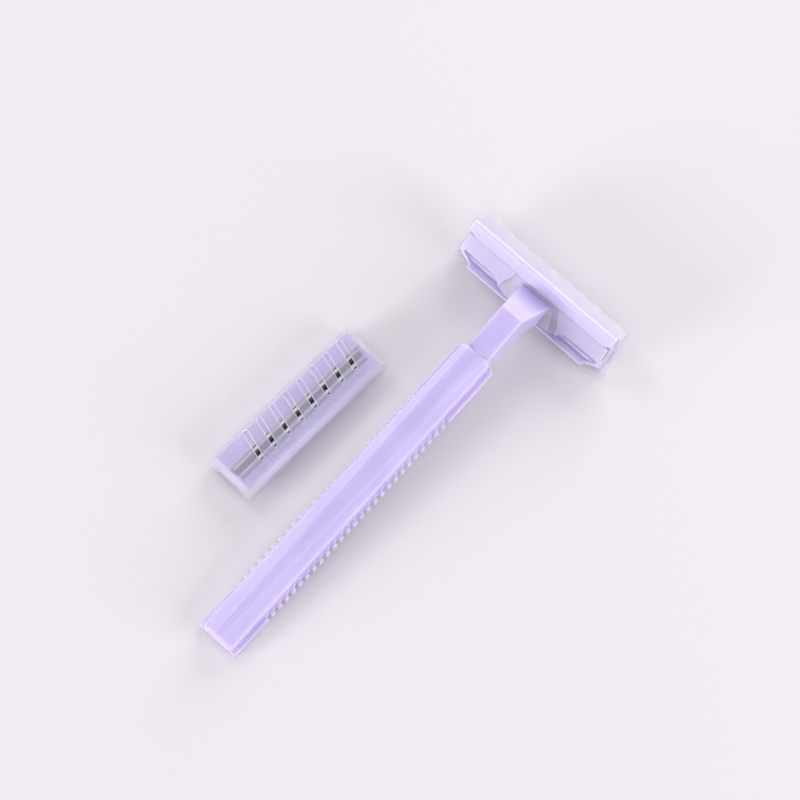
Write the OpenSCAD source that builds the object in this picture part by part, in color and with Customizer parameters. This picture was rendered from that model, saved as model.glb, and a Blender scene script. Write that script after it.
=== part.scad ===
// A twin-blade body razor with a T-shaped head and a slide-on cartridge under a slotted cover,
// and one spare cartridge in its own cover, lying face up beside it.
// Lengths are in millimetres. +Y runs along the handle from the butt to the head, +X to its right,
// and +Z up from the surface that the razor lies on with its cutting side down.
// The origin is the middle of the flat landing under the butt.

/* [Grip] */
// Length of the grip, from the butt to its shoulder at the neck
grip_len = 84.8; // [76:0.2:96]
// Width over the side flanges at the butt
butt_w = 10.7; // [10:0.1:13]
// Width over the side flanges at the shoulder
shoulder_w = 10.4; // [10:0.1:12]
// Width of the raised core at the butt
butt_core_w = 8.4; // [7.4:0.1:9]
// Width of the raised core at the shoulder
shoulder_core_w = 7.8; // [7.2:0.1:8.6]
// Thickness of the side flanges
flange_t = 1.5; // [1:0.1:2]
// Climb of the flanges from the butt to the shoulder
grip_rise = 8.5; // [7.4:0.1:9.4]
// Height of the core's edges above the flanges at the butt
butt_core_h = 3; // [2.4:0.1:3.6]
// Height of the core's edges above the flanges at the shoulder
shoulder_core_h = 2.4; // [2:0.1:2.8]
// Depth of the core below the flanges at the shoulder
belly_h = 1.5; // [1:0.1:2]
// Tilt of the two long top facets, in degrees
facet_tilt = 17; // [12:1:20]
// Radius of the hollow flute along the top
flute_r = 4; // [3.4:0.1:5]
// Width of the flute at the shoulder
flute_shoulder_w = 4.8; // [3.6:0.1:5.4]
// Width of the flute near the butt
flute_butt_w = 2; // [1:0.1:2.6]
// Length of the flat landing under the butt
landing_len = 9; // [6:0.5:10.5]
// Corner radius at the butt
butt_corner_r = 0.7; // [0.3:0.1:1.1]
// Corner radius at the shoulder
shoulder_corner_r = 1.2; // [0.6:0.1:1.6]

/* [Grip comb] */
// Distance from the butt to the first notch
comb_start = 11; // [10.6:0.2:14]
// Spacing of the notches in the flanges
notch_pitch = 2.22; // [2:0.02:2.4]
// Width of a notch
notch_w = 1.1; // [0.8:0.05:1.3]
// Width of the flange that a notch leaves beside the core
notch_ledge = 0.35; // [0.2:0.05:0.5]
// Number of notches on each side
notch_count = 27; // [20:1:27]

/* [Neck] */
// Width of the neck
neck_w = 6; // [5:0.1:6.8]
// Width of the neck where it meets the head
neck_root_w = 8.4; // [7.4:0.1:9.4]
// Depth of the neck where it leaves the grip
neck_t = 5; // [4.4:0.1:5.4]
// Drop from the highest edges of the grip to the neck
neck_step = 0.9; // [0.6:0.1:1.3]
// Distance from the shoulder to the elbow
elbow_run = 11.5; // [10:0.1:12]
// Climb of the neck from the shoulder to the elbow
elbow_rise = 2.7; // [2:0.1:3.4]
// Depth of the two grooves under the neck and the belly
groove_d = 0.45; // [0.3:0.05:0.7]
// Width of each groove
groove_w = 0.9; // [0.6:0.1:1.1]
// Distance between the grooves' middles
groove_gap = 2.2; // [1.8:0.1:2.8]

/* [Head] */
// Distance from the shoulder to the middle of the head's back, along the handle
head_run = 19.5; // [19:0.1:21]
// Tilt of the head's back from the surface, in degrees
head_tilt = 57; // [54:1:60]
// Thickness of the thin web plate behind the cartridge
web_t = 0.4; // [0.3:0.05:0.5]
// Thickness of the raised arms behind the cartridge
arm_t = 0.8; // [0.7:0.05:1.1]
// Distance from the tip of each arm to the cartridge's end
arm_inset = 0.4; // [0.2:0.1:2]
// Gap between the arms and the cartridge's heel
heel_gap = 0.15; // [0.1:0.05:0.3]
// Gap between the arms and the cartridge's back
arm_clear = 0.1; // [0.06:0.01:0.15]
// Width of the rail's stem
stem_w = 2.8; // [2.2:0.1:3.2]
// Width of the rail's foot
foot_w = 5.6; // [5:0.1:6]
// Thickness of the rail's foot
foot_t = 0.8; // [0.6:0.05:1]
// Sliding gap around the rail
rail_clear = 0.2; // [0.12:0.02:0.25]

/* [Cartridge] */
// Gap between the lower blade's edge and the guard
edge_gap = 0.7; // [0.6:0.05:0.9]
// Thickness of the end walls beside the blades
end_wall_t = 1.3; // [1:0.05:1.6]
// Gap between the blades' ends and the end walls
blade_end_gap = 0.15; // [0.05:0.05:0.3]
// Length of the lower corners' slant
corner_run = 4.5; // [3:0.1:6]
// Depth of the lower corners' slant
corner_drop = 2.4; // [1.6:0.1:2.8]
// Thickness of the lips that hold the rail
lip_t = 0.8; // [0.6:0.05:1]
// Thickness of the channel's closed end
channel_stop = 1.2; // [0.8:0.1:2]
// Height of the ledge that the blades and the cap stand on
ledge_h = 2.5; // [2.4:0.05:2.8]
// Distance from the cap's edge to the back of the blades
stack_inset = 1.55; // [1.3:0.05:1.7]
// Tilt of the blades, in degrees
blade_tilt = 18; // [16:0.5:20]
// Height of the guard
guard_h = 4.3; // [4.1:0.05:4.5]
// Width of the guard
guard_w = 3.35; // [3.1:0.05:3.5]
// Width of the well in front of the lower blade
well_w = 0.7; // [0.5:0.05:0.9]
// Width of the rim along the guard's side of the back
heel_rim_w = 0.45; // [0.4:0.05:0.9]
// Radius of the heel's rounded edge
heel_r = 0.8; // [0.4:0.1:0.8]
// Radius of the heel's corners
heel_corner_r = 2.6; // [1:0.1:2.8]
// Depth of the long pocket in the back
pocket_d = 1.1; // [0.6:0.05:1.3]
// Width of the low rib along the pocket, and of the wall between the pocket and the channel
pocket_rib = 0.4; // [0.3:0.05:0.5]
// Pitch of the small ribs along the guard
rib_pitch = 1; // [0.8:0.05:1.4]
// Width of the gaps between the ribs
rib_gap = 0.45; // [0.3:0.05:0.6]
// Depth of the gaps between the ribs
rib_d = 0.4; // [0.2:0.05:0.6]

/* [Blades] */
// Length of each blade
blade_len = 39.1; // [36:0.1:40]
// Thickness of each blade
blade_t = 0.1; // [0.08:0.01:0.15]
// Width of the lower blade
lower_blade_w = 6.2; // [5.6:0.05:6.4]
// Width of the spacer strip
spacer_w = 5.15; // [4.8:0.05:5.4]
// Thickness of the spacer strip
spacer_t = 0.8; // [0.6:0.05:0.9]
// Width of the upper blade
upper_blade_w = 4.4; // [4.2:0.05:4.7]
// Length of the ground edge of each blade
bevel_w = 0.25; // [0.15:0.05:0.35]
// Radius of the cap's pins
pin_r = 0.6; // [0.4:0.05:0.7]
// Gap around a pin in the blades and the spacer
pin_clear = 0.1; // [0.06:0.01:0.15]
// Gap around a pin in the seat
pin_fit = 0.02; // [0.01:0.01:0.05]
// Depth of a pin in the seat
pin_d = 0.65; // [0.4:0.05:0.7]
// Distance from the outer pins to the blades' ends
pin_inset = 3.65; // [2:0.05:6]

/* [Cap] */
// Height of the cap's crown
cap_h = 4.95; // [4.85:0.05:5.2]
// Width of the upper blade that shows in front of the cap
blade_show = 1; // [0.8:0.05:1.2]
// Height of the cap's outer edge
cap_edge_h = 3.8; // [3.4:0.05:4.2]

/* [Cover] */
// Thickness of the cover
cover_t = 0.5; // [0.4:0.05:0.7]
// Gap between the cover and the cartridge
cover_clear = 0.1; // [0.06:0.01:0.15]
// Height of the cover's rim above the cartridge's back
rim_h = 0.5; // [0.3:0.05:1]
// Width of the cover's sloped edges
cover_bevel = 1.2; // [0.8:0.05:1.4]
// Number of slots in the cover
slot_count = 8; // [5:1:8]
// Distance from the first slot's middle to the cover's near end
slot_near = 4.8; // [4:0.1:6]
// Distance from the last slot's middle to the cover's far end
slot_far = 9; // [4:0.1:10]
// Width of a slot
slot_w = 1.1; // [0.8:0.05:1.4]
// Length of a slot
slot_len = 7.8; // [6:0.1:8]
// Slant of the slots, in degrees
slot_slant = 14.3; // [0:0.5:20]
// Shift of the slots towards the cap
slot_rise = 1.4; // [1.2:0.1:1.6]
// Width of the raised lip round each slot
slot_lip = 0.2; // [0.1:0.05:0.3]
// Height of the raised lip round each slot
slot_lip_h = 0.12; // [0.05:0.01:0.2]

/* [Spare] */
// Distance of the spare cartridge to the left of the handle's middle
spare_x = 21.6; // [20:0.2:30]
// Distance from the butt to the spare cartridge's middle
spare_run = 49.65; // [30:0.2:60]
// Turn of the spare cartridge, in degrees
spare_turn = 2.1; // [0:0.1:5]

/* [Hidden] */
$fn = 48;
plastic = [0.82, 0.77, 0.95];
frosted = [0.88, 0.87, 0.93, 0.6];
steel = [0.72, 0.71, 0.7];
spacer_black = [0.08, 0.08, 0.09];
// Overrun of the cuts
over = 0.5;
// Steps of a quarter turn in an outline's rounded corner
corner_steps = 6;
// Steps of the curve under the neck
curve_steps = 10;

// Places along the handle, from the origin in the middle of the landing
butt_y = -landing_len / 2;
shoulder_y = butt_y + grip_len;
grip_slope = grip_rise / grip_len;
function flange_top(y) = flange_t + grip_slope * (y - butt_y);
// Heights of the virtual ridge where the two top facets would meet
butt_ridge = flange_top(butt_y) + butt_core_h + butt_core_w / 2 * tan(facet_tilt);
shoulder_ridge = flange_top(shoulder_y) + shoulder_core_h + shoulder_core_w / 2 * tan(facet_tilt);
ridge_slope = (shoulder_ridge - butt_ridge) / grip_len;
function ridge_z(y) = butt_ridge + ridge_slope * (y - butt_y);
// Height of the flute's axis where the flute has the width w and the ridge the height ridge
function flute_axis(ridge, w) = ridge - w / 2 * tan(facet_tilt) + sqrt(pow(flute_r, 2) - pow(w / 2, 2));
flute_butt_z = flute_axis(butt_ridge, flute_butt_w);
flute_shoulder_z = flute_axis(shoulder_ridge, flute_shoulder_w);
belly_z = grip_rise - belly_h;

// Places of the neck
neck_z = shoulder_ridge - flute_shoulder_w / 2 * tan(facet_tilt) - neck_step;
elbow_y = shoulder_y + elbow_run;
elbow_z = neck_z + elbow_rise;
neck_lap = neck_t / 2;

// The cartridge's frame: X along it, Y from the cap to the guard, Z from its back to its face.
// On the razor its middle stands at head_y, head_z, tilted so that the face looks down and forward.
cart_len = blade_len + 2 * (blade_end_gap + end_wall_t);
cart_w = stack_inset + lower_blade_w * cos(blade_tilt) + edge_gap + guard_w;
cover_half_w = cart_w / 2 + cover_clear + cover_t;
cover_half_len = cart_len / 2 + cover_clear + cover_t;
cover_in_h = cap_h + cover_clear;
cover_top = cover_in_h + cover_t;
inner_bevel = cover_bevel - cover_t / 2;
head_y = shoulder_y + head_run;
head_z = cover_half_w * sin(head_tilt) + (cover_top - cover_bevel) * cos(head_tilt);
function head_point(y, z) = [head_y - y * cos(head_tilt) + z * sin(head_tilt),
    head_z - y * sin(head_tilt) - z * cos(head_tilt)];

// Places in the cartridge's frame
cap_y = -cart_w / 2;
guard_y = cart_w / 2 - guard_w;
stack_y = cap_y + stack_inset;
stack_back = rail_clear / 4;
stack_t = 2 * blade_t + spacer_t;
foot_h = foot_t + 2 * rail_clear;
channel_h = lip_t + foot_h;
stem_y = -stem_w / 4;
bed_front = lower_blade_w - well_w;
show_y = stack_y + upper_blade_w * cos(blade_tilt) - (stack_t - blade_t) * sin(blade_tilt) - blade_show;
pin_run = lower_blade_w / 3;
pin_count = 4;
pin_pitch = (blade_len - 2 * pin_inset) / (pin_count - 1);
slot_pitch = (2 * cover_half_len - slot_near - slot_far) / (slot_count - 1);
arm_back = -arm_clear - arm_t;
rail_back = -(cart_len / 2 - rail_clear);
rail_front = cart_len / 2 - channel_stop - rail_clear;
// Point of the blade stack's tilted frame: s along the blades to their edges, h across them
function stack_point(s, h) = [stack_y + s * cos(blade_tilt) - h * sin(blade_tilt),
    ledge_h + s * sin(blade_tilt) + h * cos(blade_tilt)];
// Distance along the stack to the place where its layer h reaches y
function stack_reach(y, h) = (y - stack_y + h * sin(blade_tilt)) / cos(blade_tilt);
cap_front = stack_reach(show_y, stack_t);
guard_floor = stack_point(bed_front, 0)[1] - (guard_h - ledge_h) / 2;

// Arms: half their span, and shares of it and of the cover's half width along their edges
arm_tip = cart_len / 2 - arm_inset;
arm_top_share = -0.44;
arm_edge_shares = [[1, 0.17], [0.7, 0.28], [0.52, 0.34], [0.45, 0.45], [0.42, 0.65]];
arm_valley_shares = [[0.385, 0.24], [0.345, -0.1], [0.306, -0.44]];
web_foot_share = 0.77;
facet_end_share = -0.21;
root_share = 0.74;
// Shares of the neck's half width at the head, for the root that it stands on
root_top_share = 1.24;
root_foot_share = 1.6;
// The heel: the raised edge of the cartridge's back, level with the arms
heel_y = cover_half_w * arm_top_share - heel_gap;
rim_y = cart_w / 2 - heel_rim_w;
pocket_y = stem_y + foot_w / 2 + rail_clear + pocket_rib;
// Shares of the cap's width and rise along its crown
cap_crown_shares = [[0.09, 0.62], [0.24, 0.86], [0.42, 1], [0.9, 1]];
cap_nose_share = 0.75;

// An arc's points about a centre
function arc(x, y, r, from, to) =
    [for (i = [0 : corner_steps]) let (a = from + (to - from) * i / corner_steps)
        [x + r * cos(a), y + r * sin(a)]];

// Plan of the grip, from half widths at the butt and at the shoulder
function grip_plan(butt_half, shoulder_half) = concat(
    arc(butt_half - butt_corner_r, butt_y + butt_corner_r, butt_corner_r, -90, 0),
    arc(shoulder_half - shoulder_corner_r, shoulder_y - shoulder_corner_r, shoulder_corner_r, 0, 90),
    arc(-shoulder_half + shoulder_corner_r, shoulder_y - shoulder_corner_r, shoulder_corner_r, 90, 180),
    arc(-butt_half + butt_corner_r, butt_y + butt_corner_r, butt_corner_r, 180, 270));

// Extrudes a side view, with points (y, z), to the width w about the plane of symmetry
module side_view(points, w) {
    translate([-w / 2, 0, 0])
        rotate([90, 0, 90])
            linear_extrude(w) polygon(points);
}

// Extrudes an outline of the cartridge's cross-section, with points (y, z), from x_low to x_high
module section(points, x_low, x_high) {
    translate([x_low, 0, 0])
        rotate([90, 0, 90])
            linear_extrude(x_high - x_low) polygon(points);
}

// Grip: a slab with flanges and a raised core with two top facets
module grip_flanges() {
    intersection() {
        side_view([[butt_y, 0], [butt_y + landing_len, 0], [shoulder_y, grip_rise],
            [shoulder_y, flange_top(shoulder_y)], [butt_y, flange_t]], 2 * butt_w);
        linear_extrude(shoulder_ridge) polygon(grip_plan(butt_w / 2, shoulder_w / 2));
    }
}

module grip_core() {
    crown = 2 * butt_core_w;
    intersection() {
        side_view([[butt_y, 0], [butt_y + landing_len, 0], [shoulder_y, belly_z],
            [shoulder_y, shoulder_ridge], [butt_y, butt_ridge]], crown);
        linear_extrude(2 * shoulder_ridge) polygon(grip_plan(butt_core_w / 2, shoulder_core_w / 2));
        translate([0, butt_y, butt_ridge])
            rotate([90 + atan(ridge_slope), 0, 0])
                translate([0, 0, -2 * grip_len])
                    linear_extrude(4 * grip_len)
                        polygon([[0, 0], [crown, -crown * tan(facet_tilt)], [crown, -crown - shoulder_ridge],
                            [-crown, -crown - shoulder_ridge], [-crown, -crown * tan(facet_tilt)]]);
    }
}

module flute() {
    rise = flute_shoulder_z - flute_butt_z;
    translate([0, butt_y, flute_butt_z])
        rotate([-90 + atan(rise / grip_len), 0, 0])
            translate([0, 0, -grip_len])
                cylinder(h = 3 * grip_len, r = flute_r, $fn = 96);
}

module comb_notches() {
    core_half = (butt_core_w + (shoulder_core_w - butt_core_w) / 2) / 2;
    for (i = [0 : notch_count - 1])
        let (y = butt_y + comb_start + i * notch_pitch,
            half = notch_ledge + butt_core_w / 2
                + (shoulder_core_w - butt_core_w) / 2 * (y - butt_y) / grip_len)
            for (side = [-1, 1])
                translate([side > 0 ? half : -half - core_half, y, -over])
                    cube([core_half, notch_w, shoulder_ridge]);
}

// Neck: a bent bar whose profile ends at the head's web plate
function neck_under() = let (
    start = [shoulder_y, belly_z],
    bend = [elbow_y, belly_z],
    end = head_point(cover_half_w * root_share, arm_back))
    [for (i = [0 : curve_steps]) let (t = i / curve_steps)
        start * pow(1 - t, 2) + bend * 2 * t * (1 - t) + end * pow(t, 2)];

module neck() {
    facet_end = head_point(cover_half_w * facet_end_share, arm_back - arm_t / 4);
    intersection() {
        side_view(concat(
            [[shoulder_y - neck_lap, belly_z + over], [shoulder_y - neck_lap, neck_z - over],
                [shoulder_y, neck_z], [elbow_y, elbow_z], facet_end,
                head_point(cover_half_w * facet_end_share, -arm_clear - web_t / 2),
                head_point(cover_half_w * root_share, -arm_clear - web_t / 2)],
            [for (i = [curve_steps : -1 : 0]) neck_under()[i]]), neck_root_w);
        linear_extrude(2 * elbow_z)
            polygon([[neck_w / 2, shoulder_y - neck_t], [neck_w / 2, elbow_y],
                [neck_root_w / 2, facet_end[0]], [neck_root_w / 2, 2 * elbow_y],
                [-neck_root_w / 2, 2 * elbow_y], [-neck_root_w / 2, facet_end[0]],
                [-neck_w / 2, elbow_y], [-neck_w / 2, shoulder_y - neck_t]]);
    }
}

module under_grooves() {
    lift = [0, groove_d];
    for (side = [-1, 1])
        translate([side * groove_gap / 2, 0, 0])
            side_view(concat(
                [[butt_y + comb_start, -over], [butt_y + comb_start, 0],
                    [shoulder_y, belly_z + groove_d]],
                [for (i = [1 : curve_steps - 1]) neck_under()[i] + lift],
                [[neck_under()[curve_steps - 1][0], -over]]), groove_w);
}

// The cartridge's frame put on the razor's head
module on_head() {
    translate([0, head_y, head_z])
        rotate([180 + head_tilt, 0, 0]) children();
}

// The cartridge's frame put on the surface, face up, beside the handle
module beside() {
    translate([-spare_x, butt_y + spare_run, -arm_back])
        rotate([0, 0, -90 - spare_turn]) children();
}

// Head: raised arms and the thin web plate, then the rail that the cartridge slides on
module arms() {
    foot_y = cover_half_w * web_foot_share;
    for (side = [0, 1])
        mirror([side, 0, 0])
            translate([0, 0, arm_back])
                linear_extrude(arm_t)
                    polygon(concat([[arm_tip, cover_half_w * arm_top_share]],
                        [for (p = arm_edge_shares) [p[0] * arm_tip, p[1] * cover_half_w]],
                        [for (p = arm_valley_shares) [p[0] * arm_tip, p[1] * cover_half_w]]));
    translate([0, 0, -arm_clear - web_t])
        linear_extrude(web_t)
            polygon([[arm_tip / 2, cover_half_w * arm_top_share],
                [arm_edge_shares[4][0] * arm_tip, cover_half_w * arm_edge_shares[4][1]],
                [neck_root_w / 2 * root_foot_share, foot_y], [-neck_root_w / 2 * root_foot_share, foot_y],
                [-arm_edge_shares[4][0] * arm_tip, cover_half_w * arm_edge_shares[4][1]],
                [-arm_tip / 2, cover_half_w * arm_top_share]]);
    translate([0, 0, (arm_back - arm_clear - web_t) / 2])
        linear_extrude((arm_t + web_t) / 2 - arm_clear / 2)
            polygon([[neck_root_w / 2 * root_top_share, cover_half_w * facet_end_share],
                [neck_root_w / 2 * root_foot_share, foot_y], [-neck_root_w / 2 * root_foot_share, foot_y],
                [-neck_root_w / 2 * root_top_share, cover_half_w * facet_end_share]]);
}

module rail() {
    foot_low = lip_t + rail_clear;
    translate([rail_back, stem_y - stem_w / 2, -arm_clear - web_t / 2])
        cube([rail_front - rail_back, stem_w, arm_clear + web_t / 2 + foot_low + foot_t / 2]);
    translate([rail_back, stem_y - foot_w / 2, foot_low])
        cube([rail_front - rail_back, foot_w, foot_t]);
}

module handle() {
    color(plastic) {
        difference() {
            union() {
                grip_flanges();
                difference() {
                    grip_core();
                    flute();
                }
                neck();
                on_head() {
                    arms();
                    rail();
                }
            }
            comb_notches();
            under_grooves();
        }
    }
}

// Outline of the cartridge with slanted corners on the guard's side
module cartridge_plan(low, high) {
    translate([0, 0, low])
        linear_extrude(high - low)
            polygon([[-cart_len / 2, cap_y], [cart_len / 2, cap_y],
                [cart_len / 2, cart_w / 2 - corner_drop], [cart_len / 2 - corner_run, cart_w / 2],
                [-cart_len / 2 + corner_run, cart_w / 2], [-cart_len / 2, cart_w / 2 - corner_drop]]);
}

module pins(r, depth, height) {
    for (i = [0 : pin_count - 1])
        let (foot = stack_point(pin_run, -depth))
            translate([(i - (pin_count - 1) / 2) * pin_pitch, foot[0], foot[1]])
                rotate([blade_tilt, 0, 0])
                    cylinder(h = depth + height, r = r);
}

// What stands inside the cover keeps to this block, clear of the cover's slanted edges
module cover_fit() {
    cover_block(cart_len / 2, cart_w / 2, arm_back - over, cap_h,
        inner_bevel - (2 - sqrt(2)) * cover_clear);
}

// Heel: the raised edge of the back on the cap's side, under the cover's rim
module heel() {
    foot = rim_h - cover_clear;
    intersection() {
        section(concat([[heel_y, arm_back], [heel_y, foot], [-cover_half_w, foot]],
            arc(heel_r - cover_half_w, arm_back + heel_r, heel_r, 180, 270)),
            -cart_len / 2, cart_len / 2);
        translate([0, 0, arm_back - over])
            linear_extrude(foot - arm_back + 2 * over)
                polygon(concat([[-cart_len / 2, -cover_half_w], [cart_len / 2, -cover_half_w]],
                    arc(cart_len / 2 - heel_corner_r, heel_y - heel_corner_r, heel_corner_r, 0, 90),
                    arc(heel_corner_r - cart_len / 2, heel_y - heel_corner_r, heel_corner_r, 90, 180)));
    }
}

// Long pocket in the back between the channel and the rim, with a low rib along it
module back_pocket() {
    end = cart_len / 2 - end_wall_t;
    corner = cart_len / 2 - corner_run;
    side_y = max(pocket_y + pocket_rib, cart_w / 2 - corner_drop);
    rib_y = (pocket_y + rim_y - pocket_rib) / 2;
    difference() {
        translate([0, 0, -over])
            linear_extrude(pocket_d + over)
                polygon([[-end, pocket_y], [end, pocket_y], [end, side_y], [corner, rim_y],
                    [-corner, rim_y], [-end, side_y]]);
        translate([-cart_len / 2, rib_y, pocket_d / 2])
            cube([cart_len, pocket_rib, pocket_d]);
    }
}

// Seat: back lips, channel for the rail, sloped bed for the blades, end walls and ribbed guard
module seat_shape() {
    heel();
    difference() {
        intersection() {
            union() {
                section([[rim_y, arm_back], [cart_w / 2, arm_back], [cart_w / 2, lip_t], [rim_y, lip_t]],
                    -cart_len / 2, cart_len / 2);
                section([[cap_y, 0], [cart_w / 2, 0], [cart_w / 2, guard_floor],
                    [cart_w / 2 - rib_d, guard_h - rib_d], [cart_w / 2 - 2 * rib_d, guard_h],
                    [guard_y, guard_h], [guard_y, guard_floor],
                    [stack_point(bed_front, 0)[0], guard_floor],
                    stack_point(bed_front, 0), stack_point(0, 0), [cap_y, ledge_h]],
                    -cart_len / 2, cart_len / 2);
                for (x = [-cart_len / 2, cart_len / 2 - end_wall_t])
                    section([stack_point(stack_back, 0), stack_point(stack_back, stack_t),
                        stack_point(cap_front, stack_t), [show_y + stack_back, guard_h],
                        [guard_y + over, guard_h], [guard_y + over, guard_floor - over],
                        [stack_y + over, ledge_h - over]], x, x + end_wall_t);
            }
            cartridge_plan(arm_back - over, cover_top);
            cover_fit();
        }
        // The channel, open at one end
        translate([-cart_len / 2 - over, stem_y - foot_w / 2 - rail_clear, lip_t])
            cube([cart_len + over - channel_stop, foot_w + 2 * rail_clear, foot_h]);
        translate([-cart_len / 2 - over, stem_y - stem_w / 2 - rail_clear, -over])
            cube([cart_len + over - channel_stop, stem_w + 2 * rail_clear, lip_t + 2 * over]);
        pins(pin_r + pin_fit, pin_d + pin_fit, over);
        guard_gaps();
        back_pocket();
    }
}

// Gaps between the small ribs along the guard's blade side
module guard_gaps() {
    count = floor((cart_len - 2 * end_wall_t - 2 * rib_pitch) / rib_pitch);
    for (i = [0 : count - 1])
        translate([(i - (count - 1) / 2) * rib_pitch - rib_gap / 2, guard_y - over, guard_h - rib_d])
            cube([rib_gap, guard_w / 2 + over, rib_d + over]);
}

// Blade: a strip with holes for the pins and a ground edge, lying at the height low in the stack
module blade_shape(w, low) {
    color(steel)
        difference() {
            section([stack_point(stack_back, low), stack_point(w - bevel_w, low),
                stack_point(w, low + blade_t / 2), stack_point(w - bevel_w, low + blade_t),
                stack_point(stack_back, low + blade_t)], -blade_len / 2, blade_len / 2);
            pins(pin_r + pin_clear, over, stack_t + over);
        }
}

module spacer_shape() {
    color(spacer_black)
        difference() {
            section([stack_point(stack_back, blade_t), stack_point(spacer_w, blade_t),
                stack_point(spacer_w - spacer_t / 4, blade_t + spacer_t),
                stack_point(stack_back, blade_t + spacer_t)], -blade_len / 2, blade_len / 2);
            pins(pin_r + pin_clear, over, stack_t + over);
        }
}

// Cap: closes the stack from above, with pins through it into the seat
module cap_shape() {
    cap_run = show_y - cap_y;
    nose_z = stack_point(cap_front, stack_t)[1];
    color(plastic) {
        intersection() {
            section(concat([[cap_y, ledge_h], stack_point(0, 0), stack_point(0, stack_t),
                stack_point(cap_front, stack_t), [show_y, nose_z + (cap_h - nose_z) * cap_nose_share]],
                [for (i = [len(cap_crown_shares) - 1 : -1 : 0]) let (p = cap_crown_shares[i])
                    [cap_y + p[0] * cap_run, cap_edge_h + (cap_h - cap_edge_h) * p[1]]],
                [[cap_y, cap_edge_h]]), -cart_len / 2, cart_len / 2);
            cover_fit();
        }
        pins(pin_r, pin_d, stack_t + spacer_t / 2);
    }
}

// Cover: a frosted shell over the face, with slanted sides and a row of slanted slots
module cover_block(half_len, half_w, low, high, bevel) {
    intersection() {
        section([[-half_w, low], [half_w, low], [half_w, high - bevel], [half_w - bevel, high],
            [-half_w + bevel, high], [-half_w, high - bevel]], -half_len, half_len);
        translate([0, half_w, 0])
            rotate([90, 0, 0])
                linear_extrude(2 * half_w)
                    polygon([[-half_len, low], [half_len, low], [half_len, high - bevel],
                        [half_len - bevel, high], [-half_len + bevel, high],
                        [-half_len, high - bevel]]);
    }
}

module slots(w, len, low, high) {
    for (i = [0 : slot_count - 1])
        translate([slot_near - cover_half_len + i * slot_pitch, -slot_rise, low])
            rotate([0, 0, 90 - slot_slant]) {
                for (end = [-1, 1])
                    translate([end * (len - w) / 2, 0, 0])
                        cylinder(h = high - low, r = w / 2, $fn = 24);
                translate([-(len - w) / 2, -w / 2, 0])
                    cube([len - w, w, high - low]);
            }
}

module cover_shape() {
    color(frosted)
        difference() {
            union() {
                cover_block(cover_half_len, cover_half_w, rim_h, cover_top, cover_bevel);
                slots(slot_w + 2 * slot_lip, slot_len + 2 * slot_lip, cover_in_h + cover_t / 2,
                    cover_top + slot_lip_h);
            }
            cover_block(cover_half_len - cover_t, cover_half_w - cover_t, rim_h - over, cover_in_h,
                inner_bevel);
            slots(slot_w, slot_len, cover_in_h - over, cover_top + over);
            // The rail's way out under both ends
            translate([-2 * cover_half_len, stem_y - foot_w / 2 - rail_clear, -over])
                cube([4 * cover_half_len, foot_w + 2 * rail_clear, channel_h + over]);
        }
}

module cartridge_seat() { on_head() color(plastic) seat_shape(); }
module lower_blade() { on_head() blade_shape(lower_blade_w, 0); }
module blade_spacer() { on_head() spacer_shape(); }
module upper_blade() { on_head() blade_shape(upper_blade_w, blade_t + spacer_t); }
module cartridge_cap() { on_head() cap_shape(); }
module blade_cover() { on_head() cover_shape(); }
module spare_seat() { beside() color(plastic) seat_shape(); }
module spare_lower_blade() { beside() blade_shape(lower_blade_w, 0); }
module spare_spacer() { beside() spacer_shape(); }
module spare_upper_blade() { beside() blade_shape(upper_blade_w, blade_t + spacer_t); }
module spare_cap() { beside() cap_shape(); }
module spare_cover() { beside() cover_shape(); }

handle();
cartridge_seat();
lower_blade();
blade_spacer();
upper_blade();
cartridge_cap();
blade_cover();
spare_seat();
spare_lower_blade();
spare_spacer();
spare_upper_blade();
spare_cap();
spare_cover();
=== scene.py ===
"""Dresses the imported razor: rounded plastic mouldings, frosted covers, ground steel blades and the view."""

import math

import bmesh
import bpy
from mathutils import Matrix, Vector


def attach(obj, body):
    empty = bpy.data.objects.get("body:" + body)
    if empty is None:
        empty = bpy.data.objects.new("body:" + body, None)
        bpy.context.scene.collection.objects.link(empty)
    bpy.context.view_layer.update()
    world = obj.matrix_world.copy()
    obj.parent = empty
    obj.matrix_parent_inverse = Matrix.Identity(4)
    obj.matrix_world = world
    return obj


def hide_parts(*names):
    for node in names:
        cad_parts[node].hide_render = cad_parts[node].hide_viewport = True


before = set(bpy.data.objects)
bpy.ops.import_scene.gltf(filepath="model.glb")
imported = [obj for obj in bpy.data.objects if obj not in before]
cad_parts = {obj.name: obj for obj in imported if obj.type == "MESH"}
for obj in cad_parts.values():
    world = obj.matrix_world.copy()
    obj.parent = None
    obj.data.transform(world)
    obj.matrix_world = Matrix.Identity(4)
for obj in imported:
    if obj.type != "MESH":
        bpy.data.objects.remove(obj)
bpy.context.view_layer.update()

MM = 0.001

# The photograph's view: a long lens, 895 mm away, above and to the lower right of the target
TARGET = Vector((-7.85, 63.61, 0)) * MM
VIEW_AZIMUTH = math.radians(42.38)
VIEW_ELEVATION = math.radians(73.2)
VIEW_DISTANCE = 895 * MM
LENS_MM = 180
SENSOR_MM = 36
CLIP_NEAR = 10 * MM
CLIP_FAR = 10

# Soft boxes aimed at the target: name, azimuth and elevation in degrees, distance and size in metres, watts
LAMPS = (
    ("key", -94, 46, 0.9, 0.36, 1.25),
    ("side", 103, 21, 0.9, 0.5, 4.4),
    ("front", -22, 14, 0.9, 0.4, 4.7),
    ("back", 191, 24, 0.9, 0.6, 4.2),
    ("fill", 30, 62, 1.3, 0.5, 1.9),
)
WORLD_STRENGTH = 0.44

# The floor, in metres: half its side, and how far it lies below the razor
FLOOR_HALF = 3
FLOOR_DROP = 0.02 * MM
FLOOR_ROUGHNESS = 0.6
FLOOR_SPECULAR = 0.2

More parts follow.
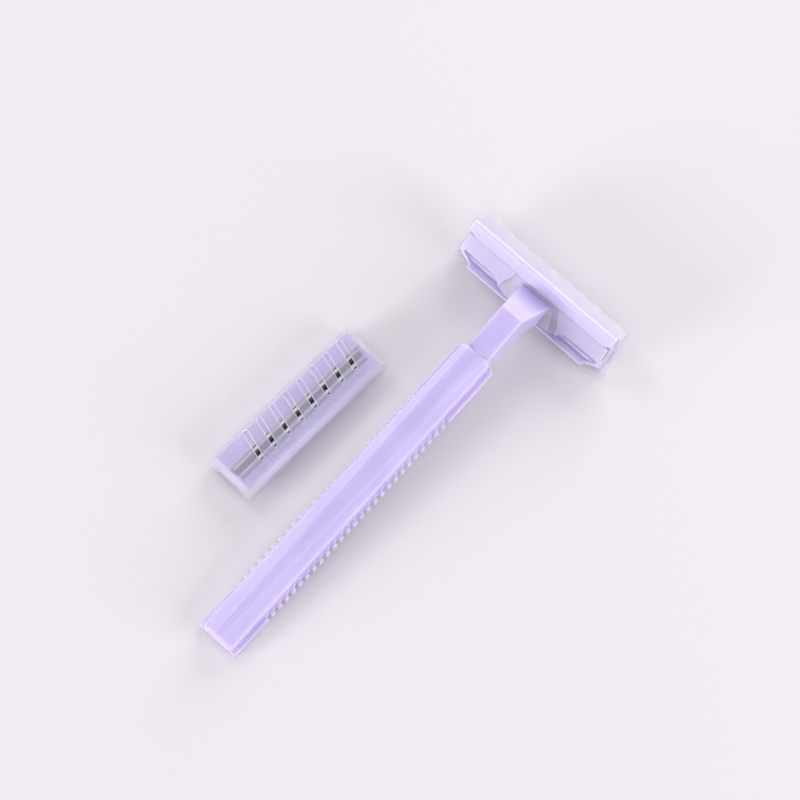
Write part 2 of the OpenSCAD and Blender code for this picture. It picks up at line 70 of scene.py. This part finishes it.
# Colours, linear
LAVENDER = (0.595, 0.515, 0.82)
LAVENDER_SOFT = (0.625, 0.545, 0.84)
CARTRIDGE_TINT = (0.62, 0.565, 0.86)
CARTRIDGE_SOFT = (0.66, 0.605, 0.88)
FACE_TINT = (0.79, 0.74, 0.95)
FACE_SOFT = (0.84, 0.79, 0.97)
# The covers' paler frost: put on the slots' lips and walls as a painted highlight, and on the side walls as
# painted paleness
FROST = (0.91, 0.88, 0.97)
FROST_SOFT = (0.95, 0.93, 0.99)
STEEL = (0.36, 0.355, 0.385)
STEEL_BRIGHT = (0.46, 0.45, 0.48)
# The spacer is a real part between the blades; its near-black colour also paints the shade in the gap between
# them
SPACER = (0.012, 0.011, 0.014)
SPACER_SOFT = (0.022, 0.02, 0.025)
FLOOR = (0.765, 0.735, 0.775)
WHITE = (1.0, 1.0, 1.0)

# Where a noise leaves the low colour and reaches the high one
RAMP_LOW = 0.35
RAMP_HIGH = 0.65

# Moulded plastic: noises in cycles per metre, roughness below and above the mean, gloss and light inside
PLASTIC_MOTTLE = 90
PLASTIC_SHEEN = 600
PLASTIC_SKIN = 2500
SMOOTHER = 0.05
ROUGHER = 0.08
PLASTIC_SPECULAR = 0.75
PLASTIC_SCATTER = (1.0, 0.9, 1.1)

# Frosted plastic: noises in cycles per metre, the span of its roughness, and how weakly it bends light
FROST_MOTTLE = 120
FROST_SHEEN = 900
FROST_SKIN = 4000
FROST_ROUGHNESS = (0.26, 0.4)
FROST_IOR = 1.25

# Ground steel: noise in cycles per metre, the span of its roughness, and the share of the noise that is left
# along the lines, which draws it out
STEEL_LINES = 900
STEEL_ROUGHNESS = (0.28, 0.42)
DRAWN_OUT = 0.03

# Cleaning: corners nearer than this become one, and so do faces that turn less than this
MERGE = 0.006 * MM
FLAT_ANGLE = math.radians(0.1)

# Rounded edges: their widths, the angle from which an edge counts as sharp, how close to straight on or back
# two edges count as one line, and the shares of a width that an edge's neighbours need
HANDLE_EDGE = 0.14 * MM
SEAT_EDGE = 0.06 * MM
CAP_EDGE = 0.1 * MM
COVER_EDGE = 0.08 * MM
BLADE_EDGE = 0.01 * MM
SPACER_EDGE = 0.05 * MM
EDGE_SEGMENTS = 3
SHARP_ANGLE = math.radians(24)
SAME_WAY = 0.92
ROOM_SHARE = 2.5
SLIVER_SHARE = 0.1
FACE_AREA_WEIGHT = 100

# The neck's long upper edges: from the shoulder to the head, above this height, this far off the middle, and
# how near to a cut a corner counts as on it
NECK_EDGE = 0.45 * MM
NECK_SEGMENTS = 4
NECK_START = 81.2 * MM
NECK_END = 98.9 * MM
NECK_LOW = 9 * MM
NECK_SIDES = (2.9 * MM, 4.5 * MM)
CUT_MERGE = 0.0001 * MM

# The covers: the directions in which their faces look, the height of a slot's lip below the face, the depth and
# the area up to which an upright surface is a slot's wall, and the shares of the face's direction below which a
# surface counts as upright and as a side wall
HEAD_TILT = math.radians(57)
HEAD_WAY = Vector((0, math.sin(HEAD_TILT), -math.cos(HEAD_TILT)))
SPARE_WAY = Vector((0, 0, 1))
SLOT_LIP = 0.1 * MM
SLOT_WALL = 0.75 * MM
SLOT_WALL_AREA = 4.5 * MM * MM
UPRIGHT_SHARE = 0.1
FACE_SHARE = 0.8
# Material slots of the painted highlight on the slots' lips and walls, and of the painted paleness on the side
# walls
RIM_INDEX = 1
WALL_INDEX = 2


def rgba(colour):
    """A colour with full opacity."""
    return (*colour, 1.0)


def from_target(azimuth, elevation, distance):
    """The point at that distance from the target, in a direction given as the camera's is."""
    flat = math.cos(elevation)
    away = Vector((math.sin(azimuth) * flat, -math.cos(azimuth) * flat, math.sin(elevation)))
    return TARGET + away * distance


def aim(obj):
    """Turns a camera or light at the target."""
    obj.rotation_euler = (TARGET - obj.location).to_track_quat("-Z", "Y").to_euler()


def add_camera():
    """The camera of the photograph."""
    camera = bpy.data.objects.new("camera", bpy.data.cameras.new("camera"))
    camera.data.lens = LENS_MM
    camera.data.sensor_width = SENSOR_MM
    camera.data.clip_start = CLIP_NEAR
    camera.data.clip_end = CLIP_FAR
    camera.location = from_target(VIEW_AZIMUTH, VIEW_ELEVATION, VIEW_DISTANCE)
    aim(camera)
    bpy.context.scene.collection.objects.link(camera)
    bpy.context.scene.camera = camera


def node_material(name):
    """A new material with its node tree's parts: (material, nodes, links, shader)."""
    material = bpy.data.materials.new(name)
    material.use_nodes = True
    nodes = material.node_tree.nodes
    return material, nodes, material.node_tree.links, nodes["Principled BSDF"]


def add_noise(nodes, links, scale, detail, stretch=(1, 1, 1)):
    """Noise in the object's own coordinates, in cycles per metre."""
    coords = nodes.new("ShaderNodeTexCoord")
    mapping = nodes.new("ShaderNodeMapping")
    mapping.inputs["Scale"].default_value = stretch
    noise = nodes.new("ShaderNodeTexNoise")
    noise.inputs["Scale"].default_value = scale
    noise.inputs["Detail"].default_value = detail
    links.new(coords.outputs["Object"], mapping.inputs["Vector"])
    links.new(mapping.outputs["Vector"], noise.inputs["Vector"])
    return noise.outputs["Fac"]


def link_ramp(nodes, links, source, low, high, target):
    """Sends a noise to a colour socket, between two colours."""
    ramp = nodes.new("ShaderNodeValToRGB")
    ramp.color_ramp.elements[0].position = RAMP_LOW
    ramp.color_ramp.elements[1].position = RAMP_HIGH
    ramp.color_ramp.elements[0].color = rgba(low)
    ramp.color_ramp.elements[1].color = rgba(high)
    links.new(source, ramp.inputs["Fac"])
    links.new(ramp.outputs["Color"], target)


def link_range(nodes, links, source, low, high, target):
    """Sends a noise to a value socket, between two values."""
    spread = nodes.new("ShaderNodeMapRange")
    spread.inputs["To Min"].default_value = low
    spread.inputs["To Max"].default_value = high
    links.new(source, spread.inputs["Value"])
    links.new(spread.outputs["Result"], target)


def link_bump(nodes, links, source, height, strength, shader):
    """Sends a noise to the shader's normal as a fine relief of that height."""
    bump = nodes.new("ShaderNodeBump")
    bump.inputs["Distance"].default_value = height
    bump.inputs["Strength"].default_value = strength
    links.new(source, bump.inputs["Height"])
    links.new(bump.outputs["Normal"], shader.inputs["Normal"])


def moulded_plastic(name, low, high, roughness, glow, reach):
    """Satin moulded plastic with a faint mottle, a fine moulded skin and light that bleeds that far into it."""
    material, nodes, links, shader = node_material(name)
    mottle = add_noise(nodes, links, PLASTIC_MOTTLE, detail=2)
    link_ramp(nodes, links, mottle, low, high, shader.inputs["Base Color"])
    sheen = add_noise(nodes, links, PLASTIC_SHEEN, detail=3)
    link_range(nodes, links, sheen, roughness - SMOOTHER, roughness + ROUGHER, shader.inputs["Roughness"])
    skin = add_noise(nodes, links, PLASTIC_SKIN, detail=2)
    link_bump(nodes, links, skin, height=0.02 * MM, strength=0.25, shader=shader)
    shader.inputs["Specular IOR Level"].default_value = PLASTIC_SPECULAR
    shader.inputs["Subsurface Weight"].default_value = glow
    shader.inputs["Subsurface Radius"].default_value = PLASTIC_SCATTER
    shader.inputs["Subsurface Scale"].default_value = reach
    return material


def frosted_plastic(name, low, high, clear, opacity):
    """Thin translucent plastic with a frosted skin: clear passes light, opacity hides what is behind."""
    material, nodes, links, shader = node_material(name)
    mottle = add_noise(nodes, links, FROST_MOTTLE, detail=2)
    link_ramp(nodes, links, mottle, low, high, shader.inputs["Base Color"])
    sheen = add_noise(nodes, links, FROST_SHEEN, detail=3)
    link_range(nodes, links, sheen, *FROST_ROUGHNESS, shader.inputs["Roughness"])
    skin = add_noise(nodes, links, FROST_SKIN, detail=2)
    link_bump(nodes, links, skin, height=0.01 * MM, strength=0.2, shader=shader)
    shader.inputs["IOR"].default_value = FROST_IOR
    shader.inputs["Transmission Weight"].default_value = clear
    shader.inputs["Alpha"].default_value = opacity
    return material


def ground_steel(name, stretch):
    """Rolled steel strip with fine lines along the axis on which the noise is drawn out."""
    material, nodes, links, shader = node_material(name)
    lines = add_noise(nodes, links, STEEL_LINES, detail=3, stretch=stretch)
    link_ramp(nodes, links, lines, STEEL, STEEL_BRIGHT, shader.inputs["Base Color"])
    link_range(nodes, links, lines, *STEEL_ROUGHNESS, shader.inputs["Roughness"])
    link_bump(nodes, links, lines, height=0.005 * MM, strength=0.2, shader=shader)
    shader.inputs["Metallic"].default_value = 1.0
    return material


def is_sharp(edge):
    """Whether two faces meet at an outward corner along the edge."""
    return edge.calc_face_angle_signed(0) > SHARP_ANGLE


def has_room(edge, room):
    """Whether the edges that meet this one leave room beside it for a rounding."""
    for corner in edge.verts:
        way = (edge.other_vert(corner).co - corner.co).normalized()
        for other in corner.link_edges:
            if other is edge:
                continue
            reach = other.other_vert(corner).co - corner.co
            turn = reach.normalized().dot(way)
            beside = turn > SAME_WAY
            sliver = reach.length < room * SLIVER_SHARE
            crowded = turn > -SAME_WAY and reach.length < room
            if beside or sliver or crowded:
                return False
    return True


def bevel(shape, edges, width, segments, clamp):
    """Rounds those edges of the shape."""
    bmesh.ops.bevel(shape, geom=edges, offset=width, segments=segments, profile=0.5, affect="EDGES",
                    clamp_overlap=clamp, miter_outer="ARC")


def round_neck(shape):
    """Rounds the neck's long upper edges more than the rest."""
    for cut in (NECK_START, NECK_END):
        bmesh.ops.bisect_plane(shape, geom=shape.verts[:] + shape.edges[:] + shape.faces[:],
                               plane_co=(0, cut, 0), plane_no=(0, 1, 0), dist=CUT_MERGE)
    edges = []
    for edge in shape.edges:
        middle = (edge.verts[0].co + edge.verts[1].co) / 2
        along = abs(edge.verts[0].co.y - edge.verts[1].co.y) > edge.calc_length() / 2
        inside = NECK_START < middle.y < NECK_END and middle.z > NECK_LOW
        if along and inside and NECK_SIDES[0] < abs(middle.x) < NECK_SIDES[1] and is_sharp(edge):
            edges.append(edge)
    bevel(shape, edges, NECK_EDGE, NECK_SEGMENTS, clamp=True)


def finished_mesh(node, width):
    """A clean copy of a CAD node's mesh with rounded outward edges."""
    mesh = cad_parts[node].data.copy()
    mesh.materials.clear()
    shape = bmesh.new()
    shape.from_mesh(mesh)
    bmesh.ops.remove_doubles(shape, verts=shape.verts, dist=MERGE)
    bmesh.ops.dissolve_limit(shape, angle_limit=FLAT_ANGLE, verts=shape.verts, edges=shape.edges)
    bmesh.ops.recalc_face_normals(shape, faces=shape.faces)
    if node == "handle":
        round_neck(shape)
    room = width * ROOM_SHARE
    edges = [edge for edge in shape.edges if is_sharp(edge) and has_room(edge, room)]
    bevel(shape, edges, width, EDGE_SEGMENTS, clamp=False)
    for face in shape.faces:
        face.smooth = True
    shape.to_mesh(mesh)
    shape.free()
    return mesh


def paint_cover(mesh, rim, wall, face_way):
    """Gives the slots' lips and walls a painted highlight and the cover's side walls painted paleness, as paler
    copies of its frosted plastic.
    """
    mesh.materials.append(rim)
    mesh.materials.append(wall)
    top = max(vertex.co.dot(face_way) for vertex in mesh.vertices)
    for face in mesh.polygons:
        depth = top - face.center.dot(face_way)
        facing = abs(face.normal.dot(face_way))
        slot_wall = facing < UPRIGHT_SHARE and depth < SLOT_WALL and face.area < SLOT_WALL_AREA
        if depth < SLOT_LIP or slot_wall:
            face.material_index = RIM_INDEX
        elif facing < FACE_SHARE:
            face.material_index = WALL_INDEX


def dress(node, body, material, width):
    """Puts a finished piece in the place of a CAD node."""
    mesh = finished_mesh(node, width)
    mesh.materials.append(material)
    piece = bpy.data.objects.new("finished_" + node, mesh)
    bpy.context.scene.collection.objects.link(piece)
    normals = piece.modifiers.new("normals", "WEIGHTED_NORMAL")
    normals.keep_sharp = False
    normals.weight = FACE_AREA_WEIGHT
    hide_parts(node)
    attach(piece, body)
    return piece


def dress_cartridge(body, seat, cap, blades, spacer, steel, cover_body, cover, face_way):
    """Dresses the five pieces of a cartridge, and its cover."""
    dress(seat, body, cartridge_plastic, SEAT_EDGE)
    dress(cap, body, cartridge_plastic, CAP_EDGE)
    shell = dress(cover, cover_body, cover_plastic, COVER_EDGE)
    paint_cover(shell.data, cover_rim_painted_highlight, cover_wall_painted_pale, face_way)
    for blade in blades:
        dress(blade, body, steel, BLADE_EDGE)
    dress(spacer, body, spacer_plastic, SPACER_EDGE)


def add_lamp(name, azimuth, elevation, distance, size, power):
    """A square white soft box aimed at the target."""
    light = bpy.data.lights.new(name, "AREA")
    light.size = size
    light.energy = power
    lamp = bpy.data.objects.new(name, light)
    lamp.location = from_target(math.radians(azimuth), math.radians(elevation), distance)
    aim(lamp)
    bpy.context.scene.collection.objects.link(lamp)


def add_world():
    """Even white light from all round."""
    world = bpy.data.worlds.new("studio")
    world.use_nodes = True
    background = world.node_tree.nodes["Background"]
    background.inputs["Color"].default_value = rgba(WHITE)
    background.inputs["Strength"].default_value = WORLD_STRENGTH
    bpy.context.scene.world = world


def add_floor():
    """A plain pale floor."""
    mesh = bpy.data.meshes.new("floor")
    corners = [(x * FLOOR_HALF, y * FLOOR_HALF, 0) for x, y in ((-1, -1), (1, -1), (1, 1), (-1, 1))]
    mesh.from_pydata(corners, [], [(0, 1, 2, 3)])
    floor = bpy.data.objects.new("floor", mesh)
    bpy.context.scene.collection.objects.link(floor)
    floor.location.z = -FLOOR_DROP
    material, _, _, shader = node_material("floor")
    shader.inputs["Base Color"].default_value = rgba(FLOOR)
    shader.inputs["Roughness"].default_value = FLOOR_ROUGHNESS
    shader.inputs["Specular IOR Level"].default_value = FLOOR_SPECULAR
    mesh.materials.append(material)


bpy.context.scene.view_settings.view_transform = "Standard"
add_camera()
add_world()
add_floor()
for lamp_values in LAMPS:
    add_lamp(*lamp_values)

handle_plastic = moulded_plastic("handle_plastic", LAVENDER, LAVENDER_SOFT,
                                 roughness=0.34, glow=1, reach=2.4 * MM)
cartridge_plastic = moulded_plastic("cartridge_plastic", CARTRIDGE_TINT, CARTRIDGE_SOFT,
                                    roughness=0.36, glow=1, reach=1.6 * MM)
cover_plastic = frosted_plastic("cover_plastic", FACE_TINT, FACE_SOFT, clear=0.58, opacity=0.5)
# Paler, more opaque copies of the frosted plastic: a painted highlight on the slots' lips and walls, painted
# paleness on the side walls
cover_rim_painted_highlight = frosted_plastic("cover_rim_painted_highlight", FROST, FROST_SOFT, clear=0.35, opacity=0.7)
cover_wall_painted_pale = frosted_plastic("cover_wall_painted_pale", FROST, FROST_SOFT, clear=0.5, opacity=0.52)
blade_steel = ground_steel("blade_steel", (DRAWN_OUT, 1, 1))
spare_steel = ground_steel("spare_steel", (1, DRAWN_OUT, 1))
# Near black: the spacer's own dark plastic, which also paints the shade in the gap between the blades
spacer_plastic = moulded_plastic("spacer_plastic", SPACER, SPACER_SOFT, roughness=0.5, glow=0, reach=MM)

dress("handle", "handle", handle_plastic, HANDLE_EDGE)
dress_cartridge(body="cartridge", seat="cartridge_seat", cap="cartridge_cap",
                blades=("lower_blade", "upper_blade"), spacer="blade_spacer", steel=blade_steel,
                cover_body="cover", cover="blade_cover", face_way=HEAD_WAY)
dress_cartridge(body="spare_cartridge", seat="spare_seat", cap="spare_cap",
                blades=("spare_lower_blade", "spare_upper_blade"), spacer="spare_spacer", steel=spare_steel,
                cover_body="spare_cover", cover="spare_cover", face_way=SPARE_WAY)
